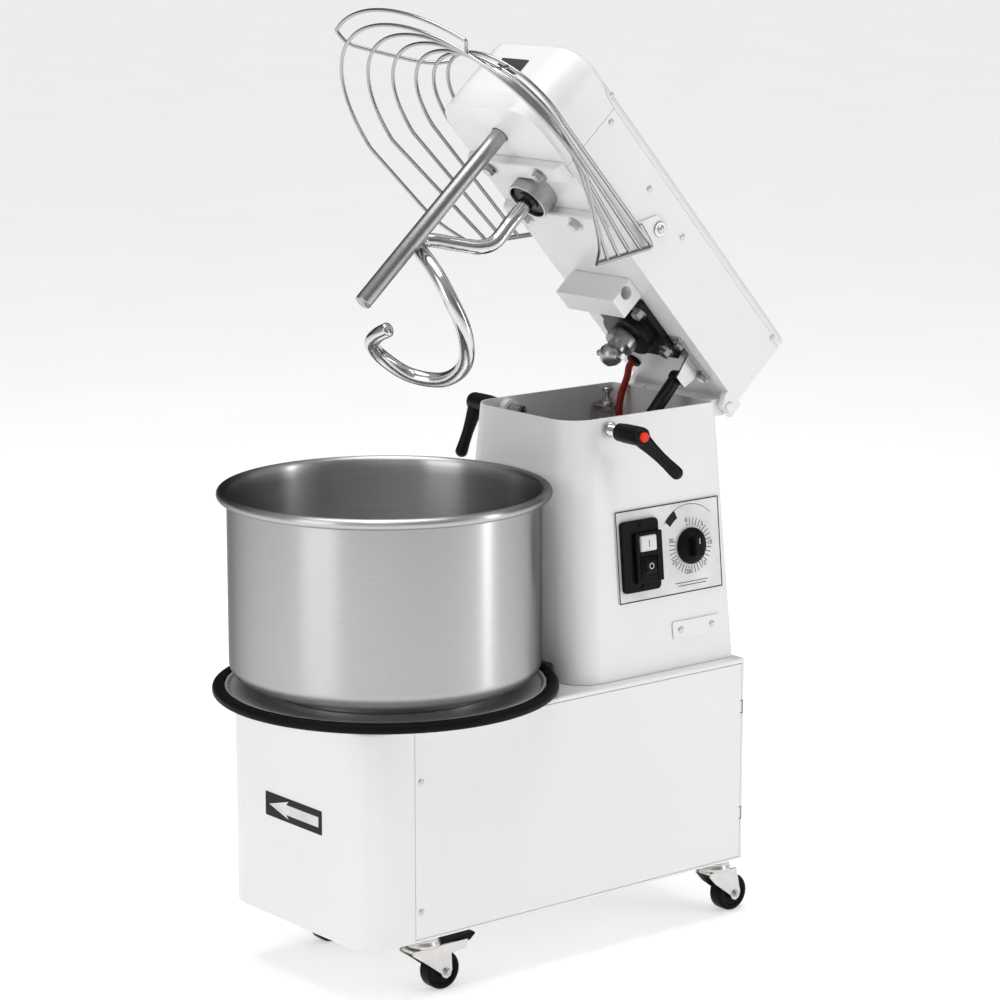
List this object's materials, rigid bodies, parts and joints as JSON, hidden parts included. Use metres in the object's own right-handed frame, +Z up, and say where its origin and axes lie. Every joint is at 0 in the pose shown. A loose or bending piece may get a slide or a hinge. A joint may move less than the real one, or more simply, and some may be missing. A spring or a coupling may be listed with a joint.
{
  "type": "spiral dough mixer",
  "caption": "Tilting-head spiral dough mixer on castors, with a removable steel bowl on a driven turntable, spiral hook, breaker bar and wire guard.",
  "frame": {"origin": "on the floor, at the centre of the bounding box seen from above", "axes": "+Z up, -Y towards the bowl and the front of the machine, +X towards the control panel"},
  "size_m": [0.4032, 0.7531, 1.1177],
  "materials": {
    "white_paint": "satin powder coat",
    "satin_steel": "satin",
    "turned_steel": "turned",
    "chromed_steel": "polished",
    "zinc_steel": "zinc plated",
    "black_rubber": "matt",
    "red_cable_skin": "satin",
    "black_plastic": "matt",
    "wheel_plastic": "satin",
    "pedal_plastic": "matt",
    "white_plastic": "gloss",
    "red_plastic": "gloss",
    "label_plate": "satin",
    "black_metal": "satin",
    "grey_metal": "painted"
  },
  "bodies": {
    "frame": {"base_shell": "white_paint", "base_side_panel_right": "white_paint", "base_side_panel_left": "white_paint", "base_floor_plate": "zinc_steel", "column_shell": "white_paint", "column_access_plate": "white_paint", "control_panel_plate": "label_plate", "switch_box": "black_plastic", "motor_housing": "grey_metal", "drive_belt": "black_rubber", "bowl_drive_chain": "zinc_steel", "strut_lower_bracket": "turned_steel", "head_cable": "red_cable_skin"},
    "turntable_set": {"turntable": "satin_steel", "turntable_edge_trim": "black_rubber"},
    "bowl_set": {"bowl": "satin_steel"},
    "lay_shaft_set": {"lay_shaft": "turned_steel", "coupling_cup": "turned_steel"},
    "motor_rotor": {"motor_pulley": "turned_steel"},
    "head": {"head_body": "white_paint", "head_cover": "white_paint", "head_nose_cap": "white_paint", "hinge_pin": "zinc_steel", "head_crossbar_front": "white_paint", "head_crossbar_rear": "white_paint", "lock_block": "white_paint", "breaker_bar": "turned_steel", "flange_bearing": "black_metal", "spiral_collar": "turned_steel", "head_chain": "zinc_steel", "strut_head_bracket": "turned_steel"},
    "spiral": {"spiral_spindle": "black_metal", "spiral_hook": "chromed_steel"},
    "head_input": {"input_shaft": "turned_steel"},
    "guard": {"guard_wires": "chromed_steel", "guard_plate_right": "white_paint", "guard_plate_left": "white_paint"},
    "strut_tube": {"strut_cylinder": "black_metal"},
    "strut_piston": {"strut_rod": "chromed_steel"},
    "start_key": {"start_button": "white_plastic"},
    "stop_key": {"stop_button": "black_plastic"},
    "timer": {"timer_knob": "black_plastic"},
    "lock_pin_right_set": {"lock_pin_right": "chromed_steel"},
    "lock_lever_right": {"lock_handle_right": "black_plastic"},
    "lock_key_right": {"lock_button_right": "red_plastic"},
    "lock_pin_left_set": {"lock_pin_left": "chromed_steel"},
    "lock_lever_left": {"lock_handle_left": "black_plastic"},
    "lock_key_left": {"lock_button_left": "red_plastic"},
    "castor_front_right": {"castor_fork_front_right": "zinc_steel"},
    "wheel_front_right": {"castor_wheel_front_right": "wheel_plastic"},
    "pedal_front_right": {"castor_pedal_front_right": "pedal_plastic"},
    "castor_front_left": {"castor_fork_front_left": "zinc_steel"},
    "wheel_front_left": {"castor_wheel_front_left": "wheel_plastic"},
    "pedal_front_left": {"castor_pedal_front_left": "pedal_plastic"},
    "castor_rear_right": {"castor_fork_rear_right": "zinc_steel"},
    "wheel_rear_right": {"castor_wheel_rear_right": "wheel_plastic"},
    "castor_rear_left": {"castor_fork_rear_left": "zinc_steel"},
    "wheel_rear_left": {"castor_wheel_rear_left": "wheel_plastic"}
  },
  "joints": [
    {"name": "head_tilt", "type": "hinge", "parent": "frame", "child": "head", "pos_m": [0, 0.28285, 0.62623], "axis": [-1, 0, 0], "range_deg": [-48.34, 0], "deforming": ["head_cable"]},
    {"name": "guard_lift", "type": "hinge", "parent": "head", "child": "guard", "pos_m": [0, 0.165, 0.85226], "axis": [-1, 0, 0], "range_deg": [0, 70]},
    {"name": "strut_swing", "type": "hinge", "parent": "head", "child": "strut_tube", "pos_m": [0.048, 0.23118, 0.66324], "axis": [1, 0, 0], "range_deg": [-57, 1]},
    {"name": "strut_stroke", "type": "slide", "parent": "strut_tube", "child": "strut_piston", "axis": [0, -0.6865, -0.7271], "range_m": [-0.047, 0.001]},
    {"name": "turntable_spin", "type": "hinge", "parent": "frame", "child": "turntable_set", "pos_m": [0, -0.1749, 0.34], "axis": [0, 0, 1], "continuous": true},
    {"name": "bowl_lift", "type": "slide", "parent": "turntable_set", "child": "bowl_set", "axis": [0, 0, 1], "range_m": [0, 0.08]},
    {"name": "lay_shaft_spin", "type": "hinge", "parent": "frame", "child": "lay_shaft_set", "pos_m": [0, 0.15785, 0.3], "axis": [0, 0, 1], "continuous": true},
    {"name": "motor_spin", "type": "hinge", "parent": "frame", "child": "motor_rotor", "pos_m": [0, 0.0301, 0.11], "axis": [0, 0, 1], "continuous": true},
    {"name": "spiral_spin", "type": "hinge", "parent": "head", "child": "spiral", "pos_m": [0, 0.04555, 0.89295], "axis": [0, 0.7471, 0.6647], "continuous": true},
    {"name": "input_shaft_spin", "type": "hinge", "parent": "head", "child": "head_input", "pos_m": [0, 0.19976, 0.71962], "axis": [0, 0.7471, 0.6647], "continuous": true},
    {"name": "start_press", "type": "slide", "parent": "frame", "child": "start_key", "axis": [-0.9951, 0, -0.0986], "range_m": [0, 0.003], "stiffness_N_per_m": 300},
    {"name": "stop_press", "type": "slide", "parent": "frame", "child": "stop_key", "axis": [-0.9951, 0, -0.0986], "range_m": [0, 0.003], "stiffness_N_per_m": 300},
    {"name": "timer_turn", "type": "hinge", "parent": "frame", "child": "timer", "pos_m": [0.1212, 0.1976, 0.47248], "axis": [-0.9951, 0, -0.0986], "range_deg": [0, 300]},
    {"name": "lock_right_turn", "type": "hinge", "parent": "frame", "child": "lock_lever_right", "pos_m": [0.14, 0.0816, 0.6235], "axis": [1, 0, 0], "range_deg": [0, 90]},
    {"name": "lock_right_pin_slide", "type": "slide", "parent": "frame", "child": "lock_pin_right_set", "axis": [-1, 0, 0], "range_m": [0, 0.0205]},
    {"name": "lock_right_button_press", "type": "slide", "parent": "lock_lever_right", "child": "lock_key_right", "axis": [-1, 0, 0], "range_m": [0, 0.004], "stiffness_N_per_m": 200},
    {"name": "lock_left_turn", "type": "hinge", "parent": "frame", "child": "lock_lever_left", "pos_m": [-0.14, 0.0816, 0.6235], "axis": [1, 0, 0], "range_deg": [0, 90]},
    {"name": "lock_left_pin_slide", "type": "slide", "parent": "frame", "child": "lock_pin_left_set", "axis": [1, 0, 0], "range_m": [0, 0.0205]},
    {"name": "lock_left_button_press", "type": "slide", "parent": "lock_lever_left", "child": "lock_key_left", "axis": [1, 0, 0], "range_m": [0, 0.004], "stiffness_N_per_m": 200},
    {"name": "castor_front_right_swivel", "type": "hinge", "parent": "frame", "child": "castor_front_right", "pos_m": [0.108, -0.2059, 0.055], "axis": [0, 0, 1], "continuous": true},
    {"name": "wheel_front_right_spin", "type": "hinge", "parent": "castor_front_right", "child": "wheel_front_right", "pos_m": [0.108, -0.1819, 0.023], "axis": [1, 0, 0], "continuous": true},
    {"name": "pedal_front_right_press", "type": "hinge", "parent": "castor_front_right", "child": "pedal_front_right", "pos_m": [0.108, -0.1799, 0.053], "axis": [-1, 0, 0], "range_deg": [0, 5]},
    {"name": "castor_front_left_swivel", "type": "hinge", "parent": "frame", "child": "castor_front_left", "pos_m": [-0.108, -0.2059, 0.055], "axis": [0, 0, 1], "continuous": true},
    {"name": "wheel_front_left_spin", "type": "hinge", "parent": "castor_front_left", "child": "wheel_front_left", "pos_m": [-0.108, -0.1819, 0.023], "axis": [1, 0, 0], "continuous": true},
    {"name": "pedal_front_left_press", "type": "hinge", "parent": "castor_front_left", "child": "pedal_front_left", "pos_m": [-0.108, -0.1799, 0.053], "axis": [-1, 0, 0], "range_deg": [0, 5]},
    {"name": "castor_rear_right_swivel", "type": "hinge", "parent": "frame", "child": "castor_rear_right", "pos_m": [0.108, 0.2481, 0.055], "axis": [0, 0, 1], "continuous": true},
    {"name": "wheel_rear_right_spin", "type": "hinge", "parent": "castor_rear_right", "child": "wheel_rear_right", "pos_m": [0.108, 0.2721, 0.023], "axis": [1, 0, 0], "continuous": true},
    {"name": "castor_rear_left_swivel", "type": "hinge", "parent": "frame", "child": "castor_rear_left", "pos_m": [-0.108, 0.2481, 0.055], "axis": [0, 0, 1], "continuous": true},
    {"name": "wheel_rear_left_spin", "type": "hinge", "parent": "castor_rear_left", "child": "wheel_rear_left", "pos_m": [-0.108, 0.2721, 0.023], "axis": [1, 0, 0], "continuous": true}
  ],
  "couplings": [
    {"joint": "strut_swing", "follows": "head_tilt", "ratio": 1.135},
    {"joint": "strut_stroke", "follows": "head_tilt", "m_per_rad": 0.0535},
    {"joint": "lay_shaft_spin", "follows": "turntable_spin", "ratio": 2.1429},
    {"joint": "motor_spin", "follows": "turntable_spin", "ratio": 5.3571},
    {"joint": "input_shaft_spin", "follows": "spiral_spin", "ratio": 2},
    {"joint": "lock_right_pin_slide", "follows": "lock_right_turn", "m_per_rad": 0.0128},
    {"joint": "lock_left_pin_slide", "follows": "lock_left_turn", "m_per_rad": 0.0128}
  ]
}
